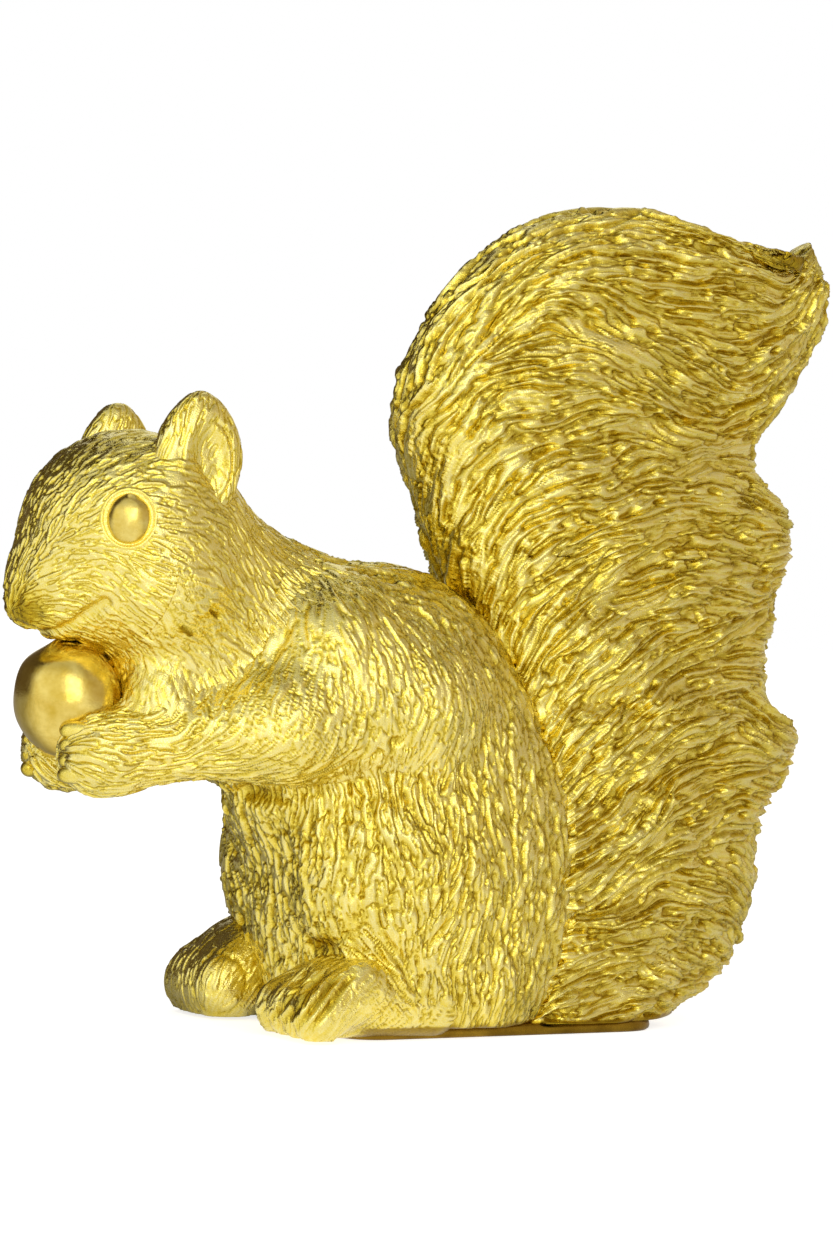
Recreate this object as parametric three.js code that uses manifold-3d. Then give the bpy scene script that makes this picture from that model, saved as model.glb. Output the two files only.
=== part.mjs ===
// A seated squirrel that nibbles a nut: a gilded shelf ornament of cast resin.
// The castings (body, head, tail, two arms, nut and eyes) are pinned with steel dowels, glued,
// and stand on a flat base plate. Nothing on it moves.
// Millimetres, +Z up. The squirrel faces -X and its left side is -Y. The origin is on the
// underside of the base plate. A point on one side is given for the right, +Y.

import * as THREE from "three";
import { mergeVertices } from "three/addons/utils/BufferGeometryUtils.js";
import Module from "manifold-3d";

const wasm = await Module();
wasm.setup();

// Fits
const glueGap = 0.3; // between neighbouring pieces, filled with adhesive
const dowelClearance = 0.2; // round a dowel and past each of its ends

// Base plate: a rounded wedge, wide under the hind feet and narrow under the tail
const plateThickness = 1.8;
const plateFront = 23; // ahead of the origin
const plateRear = 38; // behind the origin
const plateFrontWidth = 38;
const plateRearWidth = 20;
const plateCornerRadius = 7;
const studRadius = 4; // two studs on the plate locate the body and the tail
const studHeight = 4;
const bodyStudPlace = 10; // ahead of the origin
const tailStudPlace = 30; // behind the origin

// Body
const hipsCentre = [-1.5, 0, 23];
const hipsLength = 56;
const hipsWidth = 38;
const hipsHeight = 74;
const chestCentre = [-11.5, 0, 48.5];
const chestLength = 46;
const chestWidth = 39;
const chestHeight = 47;
const breastCentre = [-25, 0, 37];
const breastLength = 20;
const breastWidth = 24;
const breastHeight = 18;
const haunchCentre = [-13, 13, 25];
const haunchLength = 33;
const haunchWidth = 23;
const haunchHeight = 36;
const skirtFront = [-17, 14.8, 7]; // the fur that hangs over the heel
const skirtRear = [2, 12.5, 7];
const skirtFrontRadius = 6.6;
const skirtRearRadius = 6;
const neckRoot = [-20, 0, 57];
const neckTop = [-44, 0, 69];
const neckRootRadius = 13;
const neckTopRadius = 12;
const neckSeam = [-34, 0, 64]; // where the head is pinned on
const neckLean = 12; // degrees that the seam leans back
const bodySoftness = 2.4; // how far the masses of the body run into each other

// Hind feet
const heel = [-8, 14.8, 6];
const heelRadius = 6;
const instep = [-24, 16, 6.4];
const instepRadius = 6.2;
const toeCount = 4;
const toeKnuckle = [-22.5, 16, 8.6]; // the middle of the row of knuckles
const toeTip = [-29.9, 16, 5.5]; // the middle of the row of tips
const toeKnuckleRadius = 3.9; // half the height of a toe
const toeTipRadius = 4.3;
const toeSlimness = 1.6; // height of a toe over its width
const knuckleSpread = 10.6; // between the outer toes
const tipSpread = 12.4;
const toeLift = 0.6; // the toes stop short of the ground

// Head
const skullCentre = [-54.4, 0, 75.5];
const skullLength = 34;
const skullWidth = 29;
const skullHeight = 30;
const muzzleRoot = [-57, 0, 69];
const muzzleRadius = 12;
const muzzleEnd = [-65.2, 0, 67];
const muzzleEndRadius = 8.3;
const cheekCentre = [-52, 7, 67.5];
const cheekRadius = 9;
const bibCentre = [-42, 0, 56]; // the fur of the throat, between the cheeks and the arms
const bibLength = 30;
const bibWidth = 25;
const bibHeight = 26;
const headSoftness = 1.8;
const noseWidth = 7.2;
const noseHeight = 6;
const noseBearing = [-1, 0, -0.6]; // from the end of the muzzle
const noseSink = 2; // how far the middle of the nose lies inside the muzzle

// Eyes and ears
const eyeRadius = 3.5;
const eyeBearing = [-0.55, 1, 0.07]; // from the centre of the skull
const eyeShow = 2.2; // how far an eye stands out of the face
const lidThickness = 1.4; // the raised ring round an eye
const earBearing = [0.35, 1, 0.55]; // from the centre of the skull to the root of the ear
const earSink = 5; // how far the ear reaches down past its root
const earSplay = 0.8; // how far the ear stands out from its root
const earHeight = 19;
const earWidth = 15;
const earThickness = 5;
const earRim = 1.9; // width of the rim round the hollow
const earCup = 2.2; // how far the hollow is set outwards

// Nut
const nutCentre = [-63.4, 0, 49.7];
const nutRadius = 8.3;
const nutHeight = 18.6;
const nutLean = 16; // degrees that its point leans forwards

// Arms: the elbow lies at the flank, and the paws hold the nut from below
const shoulder = [-24, 9.5, 57];
const shoulderRadius = 12.5;
const elbow = [-13, 13.2, 50.5];
const elbowRadius = 9.6;
const forearm = [-35, 14.5, 45.8];
const forearmRadius = 8.2;
const wristRadius = 4.9;
const pawRadius = 5.4;
const pawBack = 3.2; // behind the centre of the nut
const pawDrop = 9.7; // below the centre of the nut
const pawBite = 1.6; // how far the middle of the paw lies inside the girth of the nut
const armSoftness = 1.5;
const fingerCount = 4;
const fingerRadius = 1.5;
const fingerKnuckle = [-59.6, 11.7, 37.7]; // of the lowest finger
const fingerTip = [-66.6, 8.4, 36.9];
const knuckleRise = 1.9; // from one finger to the next
const tipRise = 2.2;

// Tail: sections of the plume from its front edge to its back edge in the side view, from the
// root up, as shares of its reach (X) and its height (Z). The steps of the back edge are the
// ends of its long locks.
const tailReach = 70; // behind the origin
const tailHeight = 131;
const tailSections = [
  { front: [0.114, -0.015], back: [0.571, -0.015] },
  { front: [0.143, 0.099], back: [0.807, 0.084] },
  { front: [0.143, 0.168], back: [0.857, 0.153] },
  { front: [0.143, 0.252], back: [0.871, 0.244] },
  { front: [0.129, 0.359], back: [0.964, 0.363] },
  { front: [0.1, 0.42], back: [0.871, 0.412] },
  { front: [0.029, 0.504], back: [0.879, 0.504] },
  { front: [-0.079, 0.611], back: [0.921, 0.626] },
  { front: [-0.147, 0.733], back: [0.807, 0.71] },
  { front: [-0.064, 0.863], back: [0.886, 0.779] },
  { front: [0.143, 0.966], back: [0.964, 0.847] },
  { front: [0.457, 1], back: [0.997, 0.908] },
  { front: [0.8, 0.947], back: [0.964, 0.954] },
];
const tailTip = [0.929, 0.982];
const tailThickness = 34;
const tailThinning = 0.55; // how much thinner the plume is at its back edge
const lockCount = 9; // combed locks from the root to the tip
const lockRelief = 0.07; // depth of the furrows between locks, as a share of the thickness
const lockRake = 0.12; // how far a lock climbs from the front edge to the back edge
const tuftRows = 18; // rows of tufts from the root to the tip, which lie along the locks
const tuftsInRow = 2.5; // from the front edge to the back edge
const tuftHeight = 1.5;

// Steel dowels
const tailDowelRadius = 2.5;
const tailDowelLength = 26;
const tailDowelHeights = { tail_dowel_lower: 20, tail_dowel_upper: 44 };
const neckDowelRadius = 2.5;
const neckDowelLength = 20;
const armDowelRadius = 1.5;
const armDowelLength = 14;
const nutPinRadius = 1;
const nutPinLength = 19;
const nutPinBack = 2; // behind the centre of the nut
const nutPinDrop = 7; // below the centre of the nut

// Finishes
const gilding = { color: 0xcaa535, roughness: 0.36, metalness: 1 };
const steel = { color: 0x9a9da1, roughness: 0.35, metalness: 1 };

const { degToRad, lerp, clamp } = THREE.MathUtils;
const vec = (point) => new THREE.Vector3(...point);
const onSide = ([x, y, z], side) => [x, side * y, z];
const halves = (...sizes) => sizes.map((size) => size / 2);
const grown = (sizes, grow) => sizes.map((size) => size + grow);
const up = new THREE.Vector3(0, 0, 1);

// Masses. Each gives the distance from a point to the surface of a rounded mass, and is less
// than zero inside it.

function ball(centre, [rx, ry, rz]) {
  const middle = vec(centre);
  const scale = new THREE.Vector3(1 / rx, 1 / ry, 1 / rz);
  return (point) => {
    const near = point.clone().sub(middle).multiply(scale);
    const reach = near.length();
    const slope = near.multiply(scale).length();
    return slope > 0 ? (reach * (reach - 1)) / slope : -Math.min(rx, ry, rz);
  };
}

function limb(from, to, fromRadius, toRadius) {
  const start = vec(from);
  const along = vec(to).sub(start);
  return (point) => {
    const offset = point.clone().sub(start);
    const share = clamp(offset.dot(along) / along.lengthSq(), 0, 1);
    return offset.addScaledVector(along, -share).length() - lerp(fromRadius, toRadius, share);
  };
}

// Masses pressed together, which run into each other over about the given distance.
function blend(masses, softness) {
  return (point) => {
    const sum = masses.reduce((total, mass) => total + Math.exp(-mass(point) / softness), 0);
    return -softness * Math.log(sum);
  };
}

// The first point outside a mass on the way from an inner point.
function surfacePoint(mass, from, direction, grow = 0) {
  const stride = 0.5;
  const at = (reach) => from.clone().addScaledVector(direction, reach);
  let outside = stride;
  while (mass(at(outside)) < grow) outside += stride;
  let inside = outside - stride;
  for (let step = 0; step < 16; step++) {
    const middle = (inside + outside) / 2;
    if (mass(at(middle)) < grow) inside = middle;
    else outside = middle;
  }
  return at(inside);
}

// A closed surface through rings of points, with a pole at either end.
function ringSkin(startPole, rings, endPole) {
  const sides = rings[0].length;
  const points = [startPole, ...rings.flat(), endPole];
  const last = points.length - 1;
  const at = (ring, side) => 1 + ring * sides + (side % sides);
  const faces = [];
  for (let side = 0; side < sides; side++) {
    faces.push(0, at(0, side + 1), at(0, side));
    for (let ring = 0; ring + 1 < rings.length; ring++) {
      faces.push(at(ring, side), at(ring, side + 1), at(ring + 1, side + 1));
      faces.push(at(ring, side), at(ring + 1, side + 1), at(ring + 1, side));
    }
    faces.push(last, at(rings.length - 1, side), at(rings.length - 1, side + 1));
  }
  return new THREE.BufferGeometry().setFromPoints(points).setIndex(faces);
}

// The skin of a mass, met by rays that fan round the start of a spine, leave the spine squarely
// on the way, and fan round its end.
function skin(mass, spine, { capRings, rings, sides, grow = 0 }) {
  const curve = new THREE.CatmullRomCurve3(spine.map(vec));
  const ring = (share, tilt) => {
    const origin = curve.getPoint(share);
    const along = curve.getTangent(share);
    const across = new THREE.Vector3(0, 1, 0).cross(along).normalize();
    const other = along.clone().cross(across);
    return Array.from({ length: sides }, (_, side) => {
      const angle = (2 * Math.PI * side) / sides;
      const direction = across.clone().multiplyScalar(Math.cos(angle));
      direction.addScaledVector(other, Math.sin(angle)).multiplyScalar(Math.cos(tilt));
      return surfacePoint(mass, origin, direction.addScaledVector(along, Math.sin(tilt)), grow);
    });
  };
  const pole = (share, way) =>
    surfacePoint(mass, curve.getPoint(share), curve.getTangent(share).multiplyScalar(way), grow);
  const rows = [];
  for (let cap = 1; cap < capRings; cap++) rows.push(ring(0, (cap / capRings - 1) * (Math.PI / 2)));
  for (let row = 0; row <= rings; row++) rows.push(ring(row / rings, 0));
  for (let cap = 1; cap < capRings; cap++) rows.push(ring(1, (cap / capRings) * (Math.PI / 2)));
  return solid(ringSkin(pole(0, -1), rows, pole(1, 1)));
}

// Solids, joined and cut

function solid(geometry) {
  const bare = geometry.clone();
  bare.deleteAttribute("normal");
  bare.deleteAttribute("uv");
  const merged = mergeVertices(bare, 1e-5);
  const vertProperties = merged.attributes.position.array;
  const triVerts = new Uint32Array(merged.index.array);
  return new wasm.Manifold(new wasm.Mesh({ numProp: 3, vertProperties, triVerts }));
}

function meshOf(name, shape, finish) {
  const { vertProperties, triVerts } = shape.getMesh();
  const geometry = new THREE.BufferGeometry();
  geometry.setAttribute("position", new THREE.BufferAttribute(vertProperties, 3));
  geometry.setIndex(new THREE.BufferAttribute(triVerts, 1));
  geometry.computeVertexNormals();
  const mesh = new THREE.Mesh(geometry, new THREE.MeshStandardMaterial(finish));
  mesh.name = name;
  return mesh;
}

const joined = (...pieces) => pieces.reduce((whole, piece) => whole.add(piece));
const cut = (whole, ...tools) => tools.reduce((rest, tool) => rest.subtract(tool), whole);

function ellipsoid(centre, radii, columns = 12, rows = 8) {
  const geometry = new THREE.SphereGeometry(1, columns, rows);
  return solid(geometry.scale(...radii).translate(...centre));
}

// Everything beyond a plane, which can be moved along its normal by a gap.
function blockBeyond(point, normal, gap = 0) {
  const size = 400;
  const direction = vec(normal).normalize();
  const geometry = new THREE.BoxGeometry(size, size, size);
  geometry.applyQuaternion(new THREE.Quaternion().setFromUnitVectors(up, direction));
  return solid(geometry.translate(...vec(point).addScaledVector(direction, size / 2 + gap)));
}

// A dowel with its middle at a point, and the hole that it is glued into.
function dowel(middle, direction, radius, length) {
  const bar = (grow) => {
    const geometry = new THREE.CylinderGeometry(radius + grow, radius + grow, length + 2 * grow, 12);
    geometry.rotateX(Math.PI / 2);
    geometry.applyQuaternion(new THREE.Quaternion().setFromUnitVectors(up, vec(direction).normalize()));
    return solid(geometry.translate(...middle));
  };
  return { pin: bar(0), hole: bar(dowelClearance) };
}

// A finger or a toe: a round cone with round ends.
function digit(from, to, fromRadius, toRadius, sides = 6) {
  return skin(limb(from, to, fromRadius, toRadius), [from, to], { capRings: 2, rings: 1, sides });
}

// Base plate

function plateOutline(grow) {
  const front = -plateFront - grow;
  const rear = plateRear + grow;
  const frontHalf = plateFrontWidth / 2 + grow;
  const rearHalf = plateRearWidth / 2 + grow;
  const slope = (rearHalf - frontHalf) / (rear - front);
  const corner = plateCornerRadius;
  const shape = new THREE.Shape();
  shape.moveTo(front, -frontHalf + corner);
  shape.quadraticCurveTo(front, -frontHalf, front + corner, -frontHalf - slope * corner);
  shape.lineTo(rear - corner, -rearHalf + slope * corner);
  shape.quadraticCurveTo(rear, -rearHalf, rear, -rearHalf + corner);
  shape.lineTo(rear, rearHalf - corner);
  shape.quadraticCurveTo(rear, rearHalf, rear - corner, rearHalf - slope * corner);
  shape.lineTo(front + corner, frontHalf + slope * corner);
  shape.quadraticCurveTo(front, frontHalf, front, frontHalf - corner);
  shape.closePath();
  return shape;
}

function plateSolid(grow, depth) {
  const options = { depth, bevelEnabled: false, curveSegments: 6 };
  return solid(new THREE.ExtrudeGeometry(plateOutline(grow), options));
}

// A stud that stands on the plate. It starts inside the plate, so that the two join.
function studSolid(place, grow) {
  const length = plateThickness / 2 + studHeight + grow;
  const geometry = new THREE.CylinderGeometry(studRadius + grow, studRadius + grow, length, 16);
  geometry.rotateX(Math.PI / 2);
  return solid(geometry.translate(place, 0, (plateThickness + length) / 2));
}

// Body and head

const bothSides = [-1, 1];
const neck = limb(neckRoot, neckTop, neckRootRadius, neckTopRadius);
const haunchRadii = halves(haunchLength, haunchWidth, haunchHeight);
const bodyMass = blend(
  [
    ball(hipsCentre, halves(hipsLength, hipsWidth, hipsHeight)),
    ball(chestCentre, halves(chestLength, chestWidth, chestHeight)),
    ball(breastCentre, halves(breastLength, breastWidth, breastHeight)),
    ...bothSides.map((side) => ball(onSide(haunchCentre, side), haunchRadii)),
    ...bothSides.map((side) => {
      const ends = [skirtRear, skirtFront].map((point) => onSide(point, side));
      return limb(...ends, skirtRearRadius, skirtFrontRadius);
    }),
    neck,
  ],
  bodySoftness,
);
const bodySpine = [[hipsCentre[0], 0, heelRadius], hipsCentre, chestCentre, neckSeam];
const bodySkin = (grow) => skin(bodyMass, bodySpine, { capRings: 4, rings: 14, sides: 32, grow });

const cheekRadii = [cheekRadius, cheekRadius, cheekRadius];
const headMass = blend(
  [
    ball(skullCentre, halves(skullLength, skullWidth, skullHeight)),
    limb(muzzleRoot, muzzleEnd, muzzleRadius, muzzleEndRadius),
    ...bothSides.map((side) => ball(onSide(cheekCentre, side), cheekRadii)),
    neck,
  ],
  headSoftness,
);
const headSpine = [neckSeam, skullCentre, muzzleEnd];

function headSkin(grow) {
  const bibRadii = grown(halves(bibLength, bibWidth, bibHeight), grow);
  const skull = skin(headMass, headSpine, { capRings: 4, rings: 8, sides: 24, grow });
  return skull.add(ellipsoid(bibCentre, bibRadii, 18, 10));
}

function footSolid(side) {
  const ends = [heel, instep].map((point) => onSide(point, side));
  const mass = limb(...ends, heelRadius, instepRadius);
  const sole = skin(mass, ends, { capRings: 3, rings: 3, sides: 14 });
  const toes = Array.from({ length: toeCount }, (_, toe) => {
    const spread = toe / (toeCount - 1) - 0.5;
    const ends = [
      [toeKnuckle[0], toeKnuckle[1] + spread * knuckleSpread, toeKnuckle[2]],
      [toeTip[0], toeTip[1] + spread * tipSpread, toeTip[2]],
    ].map(([x, y, z]) => [x, side * y * toeSlimness, z]);
    return digit(...ends, toeKnuckleRadius, toeTipRadius, 10).scale([1, 1 / toeSlimness, 1]);
  });
  return joined(sole, ...toes);
}

// Ear: a leaf with a hollow that faces outwards.
function earSolid(side) {
  const [width, thickness, height] = halves(earWidth, earThickness, earHeight);
  const root = surfacePoint(headMass, vec(skullCentre), vec(onSide(earBearing, side)).normalize());
  const centre = [root.x, root.y + side * earSplay, root.z + height - earSink];
  const hollow = [centre[0], centre[1] + side * earCup, centre[2]];
  const leaf = ellipsoid(centre, [width, thickness, height], 16, 9);
  return leaf.subtract(ellipsoid(hollow, [width - earRim, thickness, height - earRim], 16, 9));
}

// Eye: a bead set in the face, with a raised lid round it.
function eyeSolids(side) {
  const direction = vec(onSide(eyeBearing, side)).normalize();
  const face = surfacePoint(headMass, vec(skullCentre), direction);
  const sphere = (radius, show) => {
    const centre = face.clone().addScaledVector(direction, show - radius);
    return ellipsoid(centre.toArray(), [radius, radius, radius]);
  };
  const rim = Math.sqrt(eyeRadius ** 2 - (eyeRadius - eyeShow) ** 2);
  const lid = new THREE.TorusGeometry(rim + lidThickness / 2, lidThickness / 2, 6, 18);
  lid.applyQuaternion(new THREE.Quaternion().setFromUnitVectors(up, direction));
  return {
    bead: sphere(eyeRadius, eyeShow),
    socket: sphere(eyeRadius + glueGap, eyeShow + glueGap),
    lid: solid(lid.translate(...face)),
  };
}

function noseSolid() {
  const direction = vec(noseBearing).normalize();
  const place = surfacePoint(headMass, vec(muzzleEnd), direction).addScaledVector(direction, -noseSink);
  const [width, height] = halves(noseWidth, noseHeight);
  return ellipsoid(place.toArray(), [height, width, height]);
}

// Nut: a smooth ovoid, a little pointed above.
function nutSolid(grow) {
  const half = nutHeight / 2 + grow;
  const radius = nutRadius + grow;
  const profile = new THREE.SplineCurve([
    new THREE.Vector2(0, -half),
    new THREE.Vector2(0.62 * radius, -0.8 * half),
    new THREE.Vector2(radius, -0.1 * half),
    new THREE.Vector2(0.72 * radius, 0.68 * half),
    new THREE.Vector2(0, half),
  ]);
  const geometry = new THREE.LatheGeometry(profile.getPoints(10), 20);
  geometry.rotateX(Math.PI / 2).rotateY(-degToRad(nutLean));
  return solid(geometry.translate(...nutCentre));
}

function armSolid(side) {
  const [top, bend, middle] = [shoulder, elbow, forearm].map((point) => onSide(point, side));
  const paw = [nutCentre[0] + pawBack, side * (nutRadius - pawBite), nutCentre[2] - pawDrop];
  const mass = blend(
    [
      limb(top, bend, shoulderRadius, elbowRadius),
      limb(bend, middle, elbowRadius, forearmRadius),
      limb(middle, paw, forearmRadius, wristRadius),
      ball(paw, [pawRadius, pawRadius, pawRadius]),
    ],
    armSoftness,
  );
  const arm = skin(mass, [bend, middle, paw], { capRings: 5, rings: 9, sides: 16 });
  const fingers = Array.from({ length: fingerCount }, (_, finger) => {
    const raised = ([x, y, z], rise) => [x, side * y, z + finger * rise];
    const ends = [raised(fingerKnuckle, knuckleRise), raised(fingerTip, tipRise)];
    return digit(...ends, fingerRadius, fingerRadius);
  });
  return joined(arm, ...fingers);
}

// Height of the tufts, which stand along raked rows and shift from one row to the next.
function tuftRelief(share, depth) {
  const place = tuftRows * (share - lockRake * depth);
  const row = Math.floor(place);
  const swell = 0.6 + 0.4 * Math.sin(2 * Math.PI * (tuftsInRow * depth + 0.382 * row));
  return tuftHeight * Math.sin(Math.PI * (place - row)) * swell;
}

// Tail: a plume swept from root to tip between its front and back edges, with raked furrows.
function tailSolid() {
  const edge = (name) => {
    const points = [...tailSections.map((section) => section[name]), tailTip];
    const placed = points.map(([x, z]) => new THREE.Vector3(x * tailReach, 0, z * tailHeight));
    return new THREE.CatmullRomCurve3(placed);
  };
  const front = edge("front");
  const back = edge("back");
  const rings = 72;
  const sides = 30;
  const rows = Array.from({ length: rings }, (_, ring) => {
    const share = ring / rings;
    const fullness = (tailThickness / 2) * (1 - share ** 4) ** 0.8;
    return Array.from({ length: sides }, (_, side) => {
      const angle = (2 * Math.PI * side) / sides;
      const depth = (1 - Math.cos(angle)) / 2;
      const furrow = 1 + Math.cos(2 * Math.PI * lockCount * (share - lockRake * depth));
      const point = front.getPoint(share).lerp(back.getPoint(share), depth);
      const half = fullness * (1 - tailThinning * depth) * (1 - lockRelief * furrow);
      point.y = -Math.sin(angle) * (half + tuftRelief(share, depth) * (1 - share ** 4));
      return point;
    });
  });
  const root = front.getPoint(0).lerp(back.getPoint(0), 0.5);
  return solid(ringSkin(root, rows, front.getPoint(1)));
}

// Assembly. What a piece must leave clear is cut from it: its neighbours grown by the glue gap,
// and the holes of its dowels.

const squirrel = new THREE.Group();

const lean = degToRad(neckLean);
const neckAxis = [-Math.cos(lean), 0, Math.sin(lean)];
const headSide = blockBeyond(neckSeam, neckAxis, -glueGap / 2);
const bodySide = blockBeyond(neckSeam, vec(neckAxis).negate().toArray(), -glueGap / 2);
const neckDowel = dowel(neckSeam, neckAxis, neckDowelRadius, neckDowelLength);

const tailDowels = Object.entries(tailDowelHeights).map(([name, height]) => {
  const inside = new THREE.Vector3(hipsCentre[0], 0, height);
  const rump = surfacePoint(bodyMass, inside, new THREE.Vector3(1, 0, 0)).toArray();
  return { name, ...dowel(rump, [1, 0, 0], tailDowelRadius, tailDowelLength) };
});

const nutPinPlace = [nutCentre[0] + nutPinBack, nutCentre[1], nutCentre[2] - nutPinDrop];
const nutPin = dowel(nutPinPlace, [0, 1, 0], nutPinRadius, nutPinLength);
const nutRoom = nutSolid(glueGap);

const belowCastings = blockBeyond([0, 0, plateThickness + glueGap], [0, 0, -1]);
const belowToes = blockBeyond([0, 0, toeLift], [0, 0, -1]);
const plateRoom = plateSolid(glueGap, plateThickness + glueGap);
const feet = cut(joined(...bothSides.map(footSolid)), belowToes, plateRoom);
const bodyOuter = joined(cut(bodySkin(0), belowCastings), feet);
const bodyRoom = joined(bodySkin(glueGap), feet);
const headRoom = headSkin(glueGap);
const bodyStudRoom = studSolid(-bodyStudPlace, glueGap);
const tailStudRoom = studSolid(tailStudPlace, glueGap);

squirrel.add(meshOf("nut", cut(nutSolid(0), nutPin.hole), gilding));
squirrel.add(meshOf("nut_pin", nutPin.pin, steel));

const armDowels = bothSides.map((side) => {
  const joint = vec(onSide(forearm, side));
  const inward = vec(chestCentre).sub(joint).normalize();
  const seam = surfacePoint((point) => -bodyMass(point), joint, inward);
  return dowel(seam.toArray(), inward.toArray(), armDowelRadius, armDowelLength);
});
bothSides.forEach((side, index) => {
  const name = side < 0 ? "left" : "right";
  const { pin, hole } = armDowels[index];
  const otherSide = blockBeyond([0, 0, 0], [0, -side, 0], -glueGap / 2);
  const arm = cut(armSolid(side), bodyRoom, headRoom, nutRoom, otherSide, hole, nutPin.hole);
  squirrel.add(meshOf(`${name}_arm_casting`, arm, gilding));
  squirrel.add(meshOf(`${name}_shoulder_dowel`, pin, steel));
});

const eyes = bothSides.map(eyeSolids);
squirrel.add(meshOf("left_eye", eyes[0].bead, gilding));
squirrel.add(meshOf("right_eye", eyes[1].bead, gilding));

const lids = eyes.map(({ lid }) => lid);
const face = joined(headSkin(0), noseSolid(), ...bothSides.map(earSolid), ...lids);
const head = cut(face, bodySide, nutRoom, neckDowel.hole, ...eyes.map(({ socket }) => socket));
squirrel.add(meshOf("head_casting", head, gilding));
squirrel.add(meshOf("neck_dowel", neckDowel.pin, steel));

const bodyHoles = [neckDowel, ...armDowels, ...tailDowels].map(({ hole }) => hole);
const body = cut(bodyOuter, headSide, bodyStudRoom, ...bodyHoles);
squirrel.add(meshOf("body_casting", body, gilding));

const tailHoles = tailDowels.map(({ hole }) => hole);
const tail = cut(tailSolid(), bodyRoom, belowCastings, tailStudRoom, ...tailHoles);
squirrel.add(meshOf("tail_casting", tail, gilding));
for (const { name, pin } of tailDowels) squirrel.add(meshOf(name, pin, steel));

const studs = [studSolid(-bodyStudPlace, 0), studSolid(tailStudPlace, 0)];
squirrel.add(meshOf("base_plate", joined(plateSolid(0, plateThickness), ...studs), gilding));

export default squirrel;
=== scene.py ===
import bpy
import numpy as np
from mathutils import Matrix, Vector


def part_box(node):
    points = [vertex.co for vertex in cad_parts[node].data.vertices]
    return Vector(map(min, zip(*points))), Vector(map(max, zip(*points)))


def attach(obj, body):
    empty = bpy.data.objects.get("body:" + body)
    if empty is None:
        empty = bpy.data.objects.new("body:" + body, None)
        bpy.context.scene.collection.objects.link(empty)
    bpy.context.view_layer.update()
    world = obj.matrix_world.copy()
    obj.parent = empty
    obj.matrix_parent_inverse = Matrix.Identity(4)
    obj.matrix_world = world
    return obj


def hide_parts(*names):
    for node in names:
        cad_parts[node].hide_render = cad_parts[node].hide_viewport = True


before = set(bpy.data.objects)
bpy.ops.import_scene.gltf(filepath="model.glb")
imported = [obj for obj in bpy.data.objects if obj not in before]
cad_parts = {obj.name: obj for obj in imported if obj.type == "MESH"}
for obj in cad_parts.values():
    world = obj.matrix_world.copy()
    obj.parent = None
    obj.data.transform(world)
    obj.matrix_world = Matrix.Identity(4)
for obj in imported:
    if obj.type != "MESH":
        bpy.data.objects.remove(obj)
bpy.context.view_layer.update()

# Base plate. A thin rounded wedge of cast resin, glued flat under the hind feet and the root of
# the tail. It is left smooth, and its gold is painted a far darker brown than the fur's: painted
# shade, so that it shows as a plain dark band.


def node_maker(tree):
    """A maker of nodes in a node tree. It sets what is named, a socket or a setting of the node,
    and links outputs of other nodes to its sockets."""
    def add(kind, links_in=(), **settings):
        node = tree.nodes.new(kind)
        for key, value in settings.items():
            if key in node.inputs:
                node.inputs[key].default_value = value
            else:
                setattr(node, key, value)
        for source, socket in links_in:
            tree.links.new(source, node.inputs[socket])
        return node

    return add


def painted(name):
    """An empty paint: the material, its shader, a maker of further nodes, and its links."""
    paint = bpy.data.materials.new(name)
    paint.use_nodes = True
    tree = paint.node_tree
    return paint, tree.nodes["Principled BSDF"], node_maker(tree), tree.links


def ranged(add, value, before, after):
    """A value mapped evenly from one range to another, and held at its ends."""
    node = add("ShaderNodeMapRange", [(value, "Value")])
    for socket, level in zip(("From Min", "From Max", "To Min", "To Max"), (*before, *after)):
        node.inputs[socket].default_value = level
    return node.outputs["Result"]


def ramped(add, value, *stops):
    """A colour for a value, blended evenly between stops of a position and a colour."""
    ramp = add("ShaderNodeValToRGB", [(value, "Fac")])
    first, *middle, last = stops
    elements = ramp.color_ramp.elements
    elements[0].position, elements[0].color = first
    elements[1].position, elements[1].color = last
    for position, colour in middle:
        elements.new(position).color = colour
    return ramp.outputs["Color"]


def smooth_gilding(name, blotch, grain, dull, thin, full):
    """Gold paint on smooth resin. Two noises shade it: blotches between the colours of a thin and
    a full coat, and a fine grain of flakes that dulls it and lifts it by a few hundredths of a
    millimetre."""
    paint, shader, add, links = painted(name)
    place = add("ShaderNodeTexCoord").outputs["Object"]
    cloud = add("ShaderNodeTexNoise", [(place, "Vector")], Scale=blotch, Detail=4.0, Roughness=0.6)
    flake = add("ShaderNodeTexNoise", [(place, "Vector")], Scale=grain, Detail=3.0, Roughness=0.55)
    tint = ramped(add, cloud.outputs["Fac"], (0.3, thin), (0.72, full))
    links.new(tint, shader.inputs["Base Color"])
    sheen = ranged(add, flake.outputs["Fac"], (0.3, 0.7), (dull / 2, dull))
    links.new(sheen, shader.inputs["Roughness"])
    lift = add("ShaderNodeBump", [(flake.outputs["Fac"], "Height")], Strength=0.16, Distance=0.0001)
    links.new(lift.outputs["Normal"], shader.inputs["Normal"])
    shader.inputs["Metallic"].default_value = 1.0
    return paint


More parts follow.
